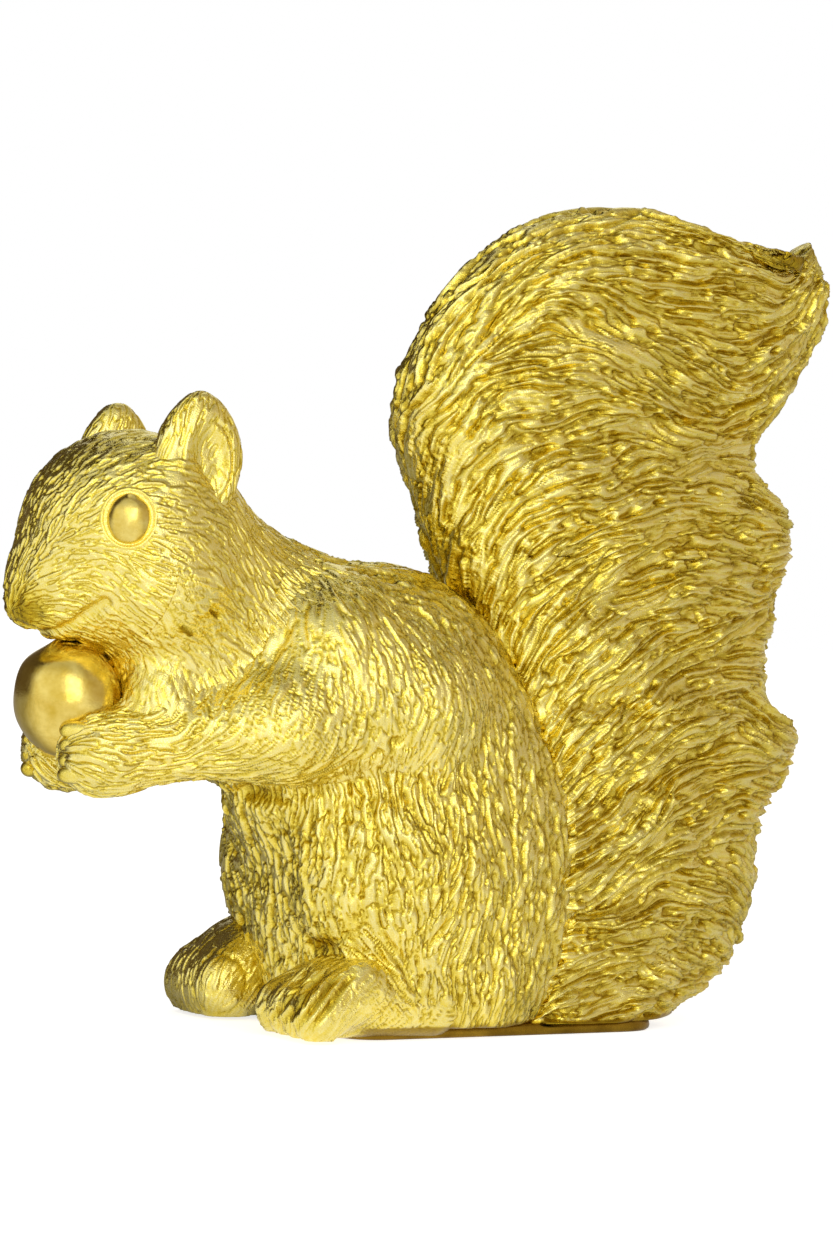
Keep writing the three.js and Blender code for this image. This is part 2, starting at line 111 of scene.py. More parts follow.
def ring_piece(name, grid, paint, slot, wall=False, facing=None, **layers):
    """A closed mesh from rings of points in millimetres, rows by columns. Neighbouring points
    make two triangles a cell, the columns run round anticlockwise, and each end row is closed to
    its own middle. With a wall, the cells from the last column to the first are a flat wall.
    Facing gives each point's normal, so that light runs on across the cut between two pieces.
    Each layer is a value for each point, kept as an attribute."""
    rows, columns = grid.shape[:2]

    def closed(values):
        start, end = values[:1].mean(1), values[-1:].mean(1)
        return np.concatenate([start, values.reshape(rows * columns, -1), end])

    number = np.arange(rows * columns).reshape(rows, columns) + 1
    first, last = np.zeros((1, columns), int), np.full((1, columns), rows * columns + 1)
    number = np.vstack([first, number, last])
    number = np.hstack([number, number[:, :1]])
    a, b, c, d = number[:-1, :-1], number[1:, :-1], number[1:, 1:], number[:-1, 1:]
    corners = np.stack([np.stack([a, d, c], -1), np.stack([a, c, b], -1)], 2)
    smooth = np.ones(corners.shape[:3], bool)
    smooth[:, -1] = not wall
    smooth[0] = smooth[-1] = False
    corners, smooth = corners.reshape(-1, 3), smooth.ravel()
    real = (corners != np.roll(corners, 1, 1)).all(1)
    mesh = bpy.data.meshes.new(name)
    mesh.from_pydata(closed(grid) / 1000, [], corners[real])
    mesh.polygons.foreach_set("use_smooth", smooth[real])
    if facing is not None:
        round_corners = corners[real] * smooth[real, None]
        normals = closed(facing)[round_corners.ravel()] * (round_corners.reshape(-1, 1) > 0)
        mesh.normals_split_custom_set(normals)
    for layer, values in layers.items():
        kind, key = ("FLOAT", "value") if values.ndim == 2 else ("FLOAT_VECTOR", "vector")
        data = closed(values.reshape(rows, columns, -1)).ravel().astype(np.float32)
        mesh.attributes.new(layer, kind, "POINT").data.foreach_set(key, data)
    mesh.materials.append(paint)
    piece = bpy.data.objects.new(name, mesh)
    bpy.context.scene.collection.objects.link(piece)
    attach(piece, "root")
    return piece


plate_ends = np.array([(-23.0, -19.0), (38.0, -10.0), (38.0, 10.0), (-23.0, 19.0)])
plate_corner = 7.0
before = np.roll(plate_ends, 1, 0) - plate_ends
after = np.roll(plate_ends, -1, 0) - plate_ends
before *= plate_corner / np.linalg.norm(before, axis=1, keepdims=True)
after *= plate_corner / np.linalg.norm(after, axis=1, keepdims=True)
bend = np.linspace(0, 1, 15)[:, None]
plate_edge = plate_ends[:, None] + before[:, None] * (1 - bend) ** 2 + after[:, None] * bend**2
plate_edge = plate_edge.reshape(-1, 2)
plate_middle = np.array([7.5, 0.0])
# Share of the outline and height, from the underside round the edge to the top.
plate_side = np.array([
    (0.6, 0), (0.96, 0), (0.985, 0.08), (1, 0.4), (1.004, 0.9), (1, 1.4), (0.985, 1.72),
    (0.96, 1.8), (0.6, 1.8),
])
plate_grid = np.empty((len(plate_side), len(plate_edge), 3))
plate_grid[..., :2] = plate_middle + plate_side[:, :1, None] * (plate_edge - plate_middle)
plate_grid[..., 2] = plate_side[:, 1:]
# Its brown-gold is far darker than the fur's gold: painted shade at the foot of the figure.
plate_shaded_paint = smooth_gilding("plate_gilding", blotch=260.0, grain=3200.0, dull=0.4,
                             thin=(0.2, 0.11, 0.008, 1), full=(0.36, 0.22, 0.02, 1))
plate = ring_piece("plate", plate_grid, plate_shaded_paint, "smooth_gilding")
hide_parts("base_plate")

# Body. The torso and haunches are one solid resin casting. The maker pressed rounded masses of
# clay together, combed the fur into them with a pointed tool, and the mould kept every stroke.


def ball(place, centre, radii):
    """About how far points are outside an ellipsoid: with k the distance from the centre in
    radii, k (k - 1) over the slope of k. It is less than zero inside."""
    near = (place - np.float32(centre)) / np.float32(radii)
    reach = np.sqrt((near**2).sum(-1))
    slope = np.sqrt(((near / np.float32(radii)) ** 2).sum(-1))
    return np.where(slope > 1e-6, reach * (reach - 1) / np.maximum(slope, 1e-6), -min(radii))


def limb(place, start, end, start_radius, end_radius):
    """How far points are outside a round limb that tapers evenly from start to end: the distance
    to the nearest point of the axis, less the radius there."""
    start = np.float32(start)
    along = np.float32(end) - start
    offset = place - start
    share = np.clip(offset @ along / (along @ along), 0, 1)
    away = offset - share[..., None] * along
    return np.sqrt((away**2).sum(-1)) - start_radius - (end_radius - start_radius) * share


def pressed(masses, softness):
    """Masses run into each other: less the softness times the log of the sum of exp(-distance
    over softness), which is the nearest mass with its joins filled."""
    nearest = np.minimum.reduce(masses)
    total = sum(np.exp((nearest - mass) / np.float32(softness)) for mass in masses)
    return nearest - np.float32(softness) * np.log(total)


def mirrored(place):
    """Points with their left side folded over to the right."""
    return np.abs(place * np.float32((0, 1, 0))) + place * np.float32((1, 0, 1))


# Softness of the joins between the larger masses, in millimetres.
soft_join = 2.4


def torso_mass(place):
    """The hips, the chest, the breast and both haunches with the fur over the heels."""
    place = mirrored(place)
    hips = ball(place, (-1.5, 0, 23), (28, 19, 37))
    chest = ball(place, (-11.5, 0, 48.5), (23, 19.5, 23.5))
    breast = np.minimum(ball(place, (-25, 0, 37), (10, 12, 9)),
                        ball(place, (-35, 0, 43.5), (5.5, 9, 6.5)))
    haunch = ball(place, (-13, 13, 25), (16.5, 11.5, 18))
    heel = limb(place, (2, 12.5, 7), (-17, 14.8, 7), 6, 6.6)
    return pressed([hips, chest, breast, haunch, heel], soft_join)


def neck_mass(place):
    """A short limb from the chest up into the head."""
    return limb(place, (-20, 0, 57), (-44, 0, 69), 13, 12)


def past_seam(place):
    """How far points are past the seam between body and head, a plane square to the neck."""
    return (place - np.float32((-34, 0, 64))) @ np.float32((-0.824, 0, 0.567))


def face_mass(place):
    """The skull, the muzzle with its nose, both cheeks and the roots of the ears."""
    place = mirrored(place)
    skull = ball(place, (-54.4, 0, 75.5), (17, 14.5, 15))
    muzzle = limb(place, (-57, 0, 69), (-65.2, 0, 67), 12, 8.3)
    cheek = ball(place, (-52, 7, 67.5), (9, 9, 9))
    ear_root = limb(place, (-52.8, 9.2, 80), (-51.8, 10.2, 90), 3.2, 1.7)
    nose = ball(place, (-70.6, 0, 63.6), (3.2, 3.6, 3))
    return pressed([pressed([skull, muzzle, cheek, ear_root], 1.8), nose], 0.7)


def throat_mass(place):
    """The fur of the throat, between the cheeks and the arms, and a tuft of it behind the nut on
    each side."""
    tuft = ball(mirrored(place), (-52, 8, 50.5), (5, 4.5, 4.5))
    return pressed([ball(place, (-42, 0, 56), (15, 12.5, 13)), tuft], 1.5)


def arm_mass(place):
    """Both arms: upper arm, the forearm from the elbow at the flank, and paw."""
    place = mirrored(place)
    upper = limb(place, (-24, 9.5, 57), (-13, 13.2, 50.5), 12.5, 9.6)
    elbow = limb(place, (-13, 13.2, 50.5), (-35, 14.5, 47), 9.4, 7)
    fore = limb(place, (-35, 14.5, 47), (-60.2, 6.7, 42), 7, 4.7)
    paw = ball(place, (-60.2, 6.7, 41.9), (6, 5.4, 5.1))
    return pressed([upper, elbow, fore, paw], soft_join)


def figure_mass(place):
    """The whole furred figure but its tail and feet, with the joins between castings filled."""
    parts = (torso_mass, neck_mass, face_mass, throat_mass)
    return pressed([pressed([part(place) for part in parts], soft_join), arm_mass(place)], 1.3)


def part_mass(own, margin):
    """The figure, kept to within a margin of one casting's own masses."""
    return lambda place: np.maximum(figure_mass(place), own(place) - np.float32(margin))


def smooth_curve(points, shares):
    """A centripetal Catmull-Rom curve through points: each span is a cubic whose end slopes
    follow the neighbouring points, weighted by the square roots of the distances to them."""
    points = np.asarray(points, float)
    points = np.vstack([2 * points[0] - points[1], points, 2 * points[-1] - points[-2]])
    place = np.clip(shares, 0, 1) * (len(points) - 3)
    span = np.minimum(place.astype(int), len(points) - 4)
    t = (place - span)[:, None]
    p0, p1, p2, p3 = (points[span + k] for k in range(4))
    root = lambda a, b: np.sqrt(np.linalg.norm(b - a, axis=1, keepdims=True)).clip(1e-4)
    d0, d1, d2 = root(p0, p1), root(p1, p2), root(p2, p3)
    out = ((p1 - p0) / d0 - (p2 - p0) / (d0 + d1) + (p2 - p1) / d1) * d1
    into = ((p2 - p1) / d1 - (p3 - p1) / (d1 + d2) + (p3 - p2) / d2) * d1
    bend = 3 * (p2 - p1) - 2 * out - into
    twist = 2 * (p1 - p2) + out + into
    return p1 + out * t + bend * t**2 + twist * t**3


def skin(mass, spine, shares, tilts, turns):
    """Where rays from a spine come out of a mass, rows by columns. A ray starts at a share of the
    spine, is tilted from square to the spine towards its end, and turns round it. Its reach grows
    by the depth that is left, over and over, until it is at the surface."""
    origin = smooth_curve(spine, shares)
    ahead = smooth_curve(spine, shares + 2e-3) - smooth_curve(spine, shares - 2e-3)
    ahead /= np.linalg.norm(ahead, axis=1, keepdims=True)
    across = np.cross((0, 1, 0), ahead)
    across /= np.linalg.norm(across, axis=1, keepdims=True)
    other = np.cross(ahead, across)
    turn = turns[None, :, None]
    ray = np.cos(turn) * across[:, None] + np.sin(turn) * other[:, None]
    tilt = tilts[:, None, None]
    ray = (np.cos(tilt) * ray + np.sin(tilt) * ahead[:, None]).astype(np.float32)
    origin = origin[:, None].astype(np.float32)
    reach = np.zeros(ray.shape[:2], np.float32)
    for _ in range(24):
        reach -= mass(origin + reach[..., None] * ray)
    return origin + reach[..., None] * ray


def around(values):
    """The step round the ring at each point of a grid of rings: half of the step from the point
    before to the point after."""
    return (np.roll(values, -1, 1) - np.roll(values, 1, 1)) / 2


def outward(grid):
    """Unit normals of a grid of rings: the step round the ring crossed with the step to the next
    ring."""
    normal = np.cross(around(grid), np.gradient(grid, axis=0))
    return normal / np.linalg.norm(normal, axis=-1, keepdims=True).clip(1e-9)


def speckle(points, size, seed):
    """A smooth random field at points, from -1 to 1: random values at the corners of cells of the
    given size, blended inside each cell by the weight 3 t squared - 2 t cubed."""
    table = np.random.default_rng(seed).uniform(-1, 1, (64, 64, 64)).astype(np.float32)
    part, cell = np.modf(points / np.float32(size) + 512)
    part, cell = part * part * (3 - 2 * part), cell.astype(int)
    field = 0
    for corner in np.ndindex(2, 2, 2):
        weight = np.where(corner, part, 1 - part).prod(-1)
        field = field + weight * table[tuple(np.moveaxis((cell + corner) % 64, -1, 0))]
    return field


def combed(grid, normals, table, swirl):
    """The way that fur lies over a grid: the mean of a table's directions, weighted by one over
    the fourth power of the distance, laid on the surface and turned a little by a random field.
    The table holds places on the right side, and the left side mirrors them."""
    side = np.where(grid[..., 1:2] < 0, -1, 1) * np.float32((0, 1, 0)) + np.float32((1, 0, 1))
    lie = 0
    for row in np.float32(table):
        gap = ((grid * side - row[:3]) ** 2).sum(-1, keepdims=True)
        lie = lie + row[3:] / (gap**2 + 4)
    lie = lie * side
    lie -= (lie * normals).sum(-1, keepdims=True) * normals
    lie /= np.linalg.norm(lie, axis=-1, keepdims=True).clip(1e-9)
    angle = swirl * (speckle(grid, 8, 1) + speckle(grid, 3, 2))[..., None]
    return np.cos(angle) * lie + np.sin(angle) * np.cross(normals, lie)


def comb(grid, lie, length, width, height, seed):
    """Relief of tool strokes that lie side by side over a grid, in millimetres, and how far each
    point is from the nearest groove, from 0 to 1. A random field of the strokes' width is averaged
    along the lie of the fur over the strokes' length: every point is carried ahead and back over
    the rows and columns in short steps. Grooves run where the average is at its middle value. The
    distance from a groove is the average over its slope, and with it a stroke swells in a parabola
    up to the width, to the first height or the second by turns."""
    rows, columns = grid.shape[:2]
    down, over = np.gradient(grid, axis=0), around(grid)
    dot = lambda one, other: (one * other).sum(-1)
    area = (dot(down, down) * dot(over, over) - dot(down, over) ** 2).clip(1e-6)
    # Cells a millimetre along the lie, held where a pole pinches the grid.
    pace = np.stack([dot(lie, down) * dot(over, over) - dot(lie, over) * dot(down, over),
                     dot(lie, over) * dot(down, down) - dot(lie, down) * dot(down, over)])
    pace = (pace / area).clip(-30, 30).astype(np.float32)
    field = speckle(grid, width, seed)
    total = field.copy()
    steps = 10
    for step in (length / 2 / steps, -length / 2 / steps):
        place = np.indices((rows, columns)).astype(np.float32)
        for _ in range(steps):
            row, column = place.astype(int)
            place = place + step * pace[:, row, column]
            place[0] = place[0].clip(0, rows - 1.01)
            place[1] = (place[1] % columns).clip(0, columns - 0.01)
            (low, left), (up, aside) = place.astype(int), np.modf(place)[0]
            right = (left + 1) % columns
            total += (1 - up) * ((1 - aside) * field[low, left] + aside * field[low, right])
            total += up * ((1 - aside) * field[low + 1, left] + aside * field[low + 1, right])
    total -= total.mean()
    rise, turn = np.gradient(total, axis=0), around(total)
    slope = rise**2 * dot(over, over) + turn**2 * dot(down, down)
    slope = (slope - 2 * rise * turn * dot(down, over)) / area
    # Where the average is nearly level, a share of its usual slope rounds off the strokes.
    level = 0.8 * total.std() / width
    share = (np.abs(total) / np.sqrt(slope + level**2) / width).clip(0, 1)
    return np.where(total < 0, *height) * share * (2 - share), (2 * share).clip(0, 1)


def maths(add, operation, *values):
    """The output of a math node. Each value is a float or the output of another node."""
    wired = [(value, socket) for socket, value in enumerate(values) if not isinstance(value, float)]
    node = add("ShaderNodeMath", wired, operation=operation)
    for socket, value in enumerate(values):
        if isinstance(value, float):
            node.inputs[socket].default_value = value
    return node.outputs[0]


def fur_gilding(name):
    """Gold paint on combed fur, with painted shade. By the furrow attribute the colour climbs from
    brown-gold at the foot of a stroke to pale gold on its crest, a painted shade in the grooves,
    with blotches over it. Hairs finer than the strokes come from a noise that is averaged at five
    points
    along the lie attribute: the further from its middle value, the higher and paler, a painted
    shade in the fine grooves between them. A grain of flakes roughens them. Where the worn
    attribute and a coarse noise meet, the pale bare resin shows."""
    paint, shader, add, links = painted(name)
    place = add("ShaderNodeTexCoord").outputs["Object"]
    noises = ((170.0, 4.0, 0.6), (2600.0, 3.0, 0.6), (620.0, 3.0, 0.65))
    cloud, flake, chip = (
        add("ShaderNodeTexNoise", [(place, "Vector")], Scale=scale, Detail=detail,
            Roughness=roughness).outputs["Fac"] for scale, detail, roughness in noises)
    furrow = add("ShaderNodeAttribute", attribute_name="furrow").outputs["Fac"]
    worn = add("ShaderNodeAttribute", attribute_name="worn").outputs["Fac"]
    lie = add("ShaderNodeAttribute", attribute_name="lie").outputs["Vector"]
    steps = (-0.8e-3, -0.4e-3, 0.0, 0.4e-3, 0.8e-3)
    total = 0.0
    for step in steps:
        spot = add("ShaderNodeVectorMath", [(lie, 0), (place, 2)], operation="MULTIPLY_ADD")
        spot.inputs[1].default_value = (step, step, step)
        noise = add("ShaderNodeTexNoise", [(spot.outputs[0], "Vector")], Scale=3400.0, Detail=0.0)
        total = maths(add, "ADD", total, noise.outputs["Fac"])
    from_middle = maths(add, "ABSOLUTE", maths(add, "SUBTRACT", total, len(steps) / 2))
    hair = ranged(add, from_middle, (0, 0.4), (0.72, 1))
    gold = ramped(add, maths(add, "MULTIPLY", furrow, hair),
                  (0.0, (0.28, 0.17, 0.008, 1)), (0.3, (0.5, 0.35, 0.02, 1)),
                  (0.6, (0.85, 0.68, 0.1, 1)), (1.0, (0.93, 0.82, 0.32, 1)))
    shade = ranged(add, cloud, (0.3, 0.7), (0.86, 1.06))
    gold = add("ShaderNodeVectorMath", [(gold, 0), (shade, 1)], operation="MULTIPLY").outputs[0]
    bare = ranged(add, maths(add, "MULTIPLY", chip, worn), (0.44, 0.6), (0, 1))
    coat = add("ShaderNodeMix", [(bare, 0), (gold, 6)], data_type="RGBA")
    coat.inputs[7].default_value = (0.68, 0.6, 0.44, 1)
    links.new(coat.outputs[2], shader.inputs["Base Color"])
    links.new(maths(add, "SUBTRACT", 1.0, bare), shader.inputs["Metallic"])
    links.new(ranged(add, flake, (0.3, 0.7), (0.15, 0.3)), shader.inputs["Roughness"])
    grain = add("ShaderNodeBump", [(flake, "Height")], Strength=0.3, Distance=0.00015)
    lift = add("ShaderNodeBump", [(hair, "Height"), (grain.outputs["Normal"], "Normal")],
               Strength=0.3, Distance=0.0002)
    links.new(lift.outputs["Normal"], shader.inputs["Normal"])
    return paint


def halves(name, grid, facing, paint, slot, node, **layers):
    """The two sides of a casting, which meet on a flat wall in its middle plane."""
    middle = grid.shape[1] // 2
    sides = {"right": slice(0, middle + 1), "left": np.r_[middle : grid.shape[1], 0]}
    for side, columns in sides.items():
        kept = {layer: values[:, columns] for layer, values in layers.items()}
        piece = ring_piece(f"{name}_{side}", grid[:, columns], paint, slot, True,
                           facing[:, columns], **kept)
        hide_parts(node)


def dent(distance, width):
    """A rounded hollow: one at the middle, falling off as exp(-(distance / width) squared)."""
    return np.exp(-((distance / width) ** 2))


def crease(place, start, end):
    """How far points are from a straight line between two ends."""
    return limb(place, start, end, 0, 0)


def worn_paint(place):
    """Where the paint is worn: along the seam under the left elbow."""
    return dent(crease(place * np.float32((1, -1, 1)), (-34, 21, 39), (-16, 21.5, 41.5)), 1.6)


def above_trim(place):
    """One on the fur and zero on the smooth band at its foot, 2 mm high."""
    return ((place[..., 2] - 2) / 0.4).clip(0, 1)


def lifted(share, least):
    """A share from 0 to 1, raised to run from the least value to 1."""
    return least + (1 - least) * share


# How far a casting's own part of the neck laps over the seam.
seam_lap = 1.2


def torso_and_neck(place):
    """The torso with its part of the neck."""
    neck = np.maximum(neck_mass(place), past_seam(place) - seam_lap)
    return pressed([torso_mass(place), neck], soft_join)


gilding = fur_gilding("fur_gilding")
body_spine = [(-1, 0, 6), (-3.3, 0, 23.5), (-10, 0, 39.8), (-20.8, 0, 53.7), (-34, 0, 64)]
body_rows = np.concatenate([np.zeros(24), np.linspace(0, 1, 300), np.ones(19)])
body_tilts = np.radians(np.concatenate([
    -89 * np.linspace(1, 0.02, 24) ** 1.5, np.zeros(300), np.linspace(1, 16, 14),
    np.linspace(28, 89, 5),
]))
turn = np.arange(560) / 560
body_turns = 2 * np.pi * turn + 0.22 * np.sin(2 * np.pi * turn) + 0.12 * np.sin(4 * np.pi * turn)
body_mass = part_mass(torso_and_neck, margin=2.5)
body_skin = skin(body_mass, body_spine, body_rows, body_tilts, body_turns)
body_out = outward(body_skin)
# Rows of a table give a place on the right side and the way that the fur lies there.
body_table = [
    (-36, 12, 68, 0.6, 0, -0.8), (-12, 6, 69, 0.9, 0, -0.35), (5, 10, 60, 0.6, 0, -0.8),
    (-10, 18, 54, 0.2, 0, -1), (-26, 16, 58, -0.1, 0, -1), (15, 14, 45, 0.35, 0, -0.95),
    (22, 12, 30, 0.1, 0, -1), (-17, 20, 41, 0, 0, -1), (-18, 24, 26, 0.22, 0, -1),
    (-29, 20, 27, 0.4, 0, -0.9), (-27, 20, 14, 0.75, 0, -0.65), (-6, 22, 22, -0.08, 0, -1),
    (6, 18, 12, 0.15, 0, -1), (-29, 0, 25, 0, 0, -1), (-33, 0, 45, 0, 0, -1),
]
body_lie = combed(body_skin, body_out, body_table, swirl=0.32)
body_tufts, body_lock = comb(body_skin, body_lie, length=6, width=1.4, height=(0.2, 0.55), seed=11)
body_strokes, body_crest = comb(
    body_skin, body_lie, length=2.4, width=0.46, height=(0.24, 0.48), seed=12)
# Deep places: between belly and haunch, over the foot and under the arm. The fur stands about half
# out of the modelled masses and half in them, and its foot is trimmed to a smooth band.
body_side = mirrored(body_skin)
body_deep = 0.6 * dent(crease(body_side, (-29.6, 10.7, 27.4), (-27.4, 9.4, 15.5)), 0.9)
body_deep += dent(crease(body_side, (-26.8, 13, 13.5), (-25.4, 15.6, 13.9)), 1.4)
body_deep += 0.8 * dent(crease(body_side, (-34.8, 4.4, 36.4), (-32.5, 9, 36.4)), 1.3)
body_band = above_trim(body_skin)
body_relief = (body_tufts + body_strokes - 0.5) * body_band - 1.4 * body_deep
body_grid = body_skin + body_out * body_relief[..., None]
fur_foot = 1.7
body_grid[..., 2] = body_grid[..., 2].clip(fur_foot)
# Grooves, the deep places and the smooth band at the foot are painted darker: painted shade.
body_shade = lifted(body_crest, 0.25) * lifted(body_lock, 0.65)
body_shade = body_shade * (1 - 0.85 * body_deep.clip(0, 1)) * lifted(body_band, 0.2)
halves("body", body_grid, outward(body_grid), gilding, "gilding", "body_casting",
       furrow=body_shade, lie=body_lie, worn=worn_paint(body_skin))

# Hind feet. They are modelled on the same casting as the body: a rounded mitt under each haunch.
# The left one has toe ridges that slant to the ground, the right one is taller with a soft oval.


def foot_mass(side, tall, softness):
    """A limb from the heel to the instep, and four narrow toes that fan out from it and are run
    together by the softness. A toe is a round limb in a space that is stretched sideways by 1.6.
    The foot is drawn out upwards to a given share of its height."""
    stretch = (1, 1.6, 1)

    def mass(place):
        place = place * np.float32((1, side, 1 / tall))
        masses = [limb(place, (-8, 14.8, 6), (-24, 16, 6.4), 6, 6.2)]
        for toe in (-0.5, -1 / 6, 1 / 6, 0.5):
            knuckle = np.multiply((-22.5, 16 + 10.6 * toe, 8.6), stretch)
            tip = np.multiply((-29.9, 16 + 12.4 * toe, 4.4), stretch)
            masses.append(limb(place * np.float32(stretch), knuckle, tip, 3.9, 4.4))
        return pressed(masses, softness)

    return mass


def distance(place, point):
    """How far points are from one point."""
    return np.sqrt(((place - np.float32(point)) ** 2).sum(-1))


foot_rows = np.concatenate([np.zeros(8), np.linspace(0, 1, 44), np.ones(94)])
foot_tilts = np.radians(np.concatenate([
    -89 * np.linspace(1, 0.06, 8), np.zeros(44), 89 * np.linspace(0.01, 1, 94),
]))
foot_turns = 2 * np.pi * np.arange(210) / 210
foot_table = [
    (-3, 20, 8, -0.5, 0, -0.8), (-15, 22, 9, -0.6, 0, -0.8), (-24, 16, 14, -0.9, 0, -0.4),
    (-32, 16, 7, -0.4, 0, -0.9),
]
for name, side, tall, softness in (("left", -1, 1, 1), ("right", 1, 1.12, 2)):
    foot_spine = [(-8, side * 14.8, 6), (-17, side * 15.4, 6.3), (-25, side * 16, 6.6)]
    foot_skin = skin(foot_mass(side, tall, softness), foot_spine, foot_rows, foot_tilts, foot_turns)
    foot_out = outward(foot_skin)
    foot_lie = combed(foot_skin, foot_out, foot_table, swirl=0.15)
    foot_strokes, foot_crest = comb(
        foot_skin, foot_lie, length=2.8, width=0.45, height=(0.18, 0.4), seed=21 + side)
    toes = ((-20 - foot_skin[..., 0]) / 3).clip(0, 1)
    if side < 0:
        # The ridges are 2.3 mm apart and fade out above the toes and towards the sole.
        level = foot_skin[..., 2]
        slant = foot_skin @ np.float32((0.876, side * 0.48, -0.68)) + 21.7
        ridged = ((4.4 - np.abs(slant - 0.4)) / 0.8).clip(0, 1)
        ridged = ridged * ((11 - level) / 1.5).clip(0, 1) * ((level - 1.5) / 3).clip(0, 1)
        cleft = ridged * (0.5 - 0.5 * np.cos(2 * np.pi * slant / 2.3))
    else:
        oval_rim = distance(foot_skin, (-32.6, 7.7, 5.9)) - 4.9
        cleft = 0.35 * dent(oval_rim, 0.5)
    foot_band = np.maximum(above_trim(foot_skin), toes)
    foot_relief = (foot_strokes * (1 - 0.3 * toes) - 0.15) * foot_band - 0.6 * cleft
    foot_grid = foot_skin + foot_out * foot_relief[..., None]
    foot_grid[..., 2] = foot_grid[..., 2].clip(0.6)
    # Grooves, the clefts and the band at the foot are painted darker: painted shade; the toes stay
    # pale.
    foot_shade = lifted(np.maximum(foot_crest, 0.7 * toes), 0.3) * (1 - 0.7 * cleft)
    foot_shade = foot_shade * lifted(foot_band, 0.2)
    foot = ring_piece(f"{name}_foot", foot_grid, gilding, "gilding",
                      furrow=foot_shade, lie=foot_lie)
    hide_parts("body_casting")

# Tail. A tall plume cast in one piece and pinned to the rump. Long tool strokes rise from its
# front edge and arch over to the back edge, where they end in stepped locks.
# Each row holds x and z of the front edge and of the back edge, in shares of reach and height.
tail_sections = np.array([
    (0.114, -0.015, 0.571, -0.015), (0.143, 0.099, 0.807, 0.084), (0.143, 0.168, 0.857, 0.153),
    (0.143, 0.252, 0.871, 0.244), (0.129, 0.359, 0.964, 0.363), (0.1, 0.42, 0.871, 0.412),
    (0.029, 0.504, 0.879, 0.504), (-0.079, 0.611, 0.921, 0.626), (-0.147, 0.733, 0.807, 0.71),
    (-0.064, 0.863, 0.886, 0.779), (0.143, 0.966, 0.964, 0.847), (0.457, 1, 0.997, 0.908),
    (0.8, 0.947, 0.964, 0.954), (0.929, 0.982, 0.929, 0.982),
]) * (70, 131, 70, 131)
tail_half = 17


def plume(shares, angles):
    """The plume, rows from root to tip and columns round it. A section lies between the front and
    the back edge; with depth (1 - cos angle) / 2 from front to back, its thickness is the sine of
    the angle, thinner towards the back. It waves in raked furrows between the locks, and in raked
    rows of tufts, each row half a sine across and swelling and sinking along its length."""
    front = smooth_curve(tail_sections[:, :2], shares)[:, None]
    back = smooth_curve(tail_sections[:, 2:], shares)[:, None]
    share = shares[:, None]
    depth = (1 - np.cos(angles)) / 2
    climb = share - 0.12 * depth
    furrow_count, tuft_rows = 9, 18
    furrow = 1 + np.cos(2 * np.pi * furrow_count * climb)
    row = np.floor(tuft_rows * climb)
    swell = 0.6 + 0.4 * np.sin(2 * np.pi * (2.5 * depth + 0.382 * row))
    tuft = 1.5 * np.sin(np.pi * (tuft_rows * climb - row)) * swell
    taper = (1 - share**4).clip(0)
    half = tail_half * taper**0.6 * (1 - 0.55 * depth) * (1 - 0.07 * furrow) + tuft * taper
    edge = front + (back - front) * depth[None, :, None]
    return np.stack([edge[..., 0], -np.sin(angles) * half, edge[..., 1]], -1)


def even(values, steps, count):
    """Values spaced so that the given steps between them add up evenly."""
    run = np.concatenate([[0], np.cumsum(steps)])
    return np.interp(np.linspace(0, run[-1], count), run, values)


tail_end = 0.999
tail_share = np.linspace(0, tail_end, 3000)
tail_edges = (smooth_curve(edge, tail_share) for edge in np.hsplit(tail_sections, 2))
tail_step = sum(np.linalg.norm(np.diff(edge, axis=0), axis=1) for edge in tail_edges)
tail_rows = even(tail_share, tail_step, 800)
fine = np.linspace(0, np.pi, 2000)
tail_thick = tail_half * np.sin(fine) * (1 - 0.275 * (1 - np.cos(fine)))
section = np.stack([27 * np.cos(fine), tail_thick])
half_turn = even(fine, np.linalg.norm(np.diff(section), axis=0), 196)[:-1]
tail_skin = plume(tail_rows, np.concatenate([half_turn, np.pi + (np.pi - half_turn[::-1])]))
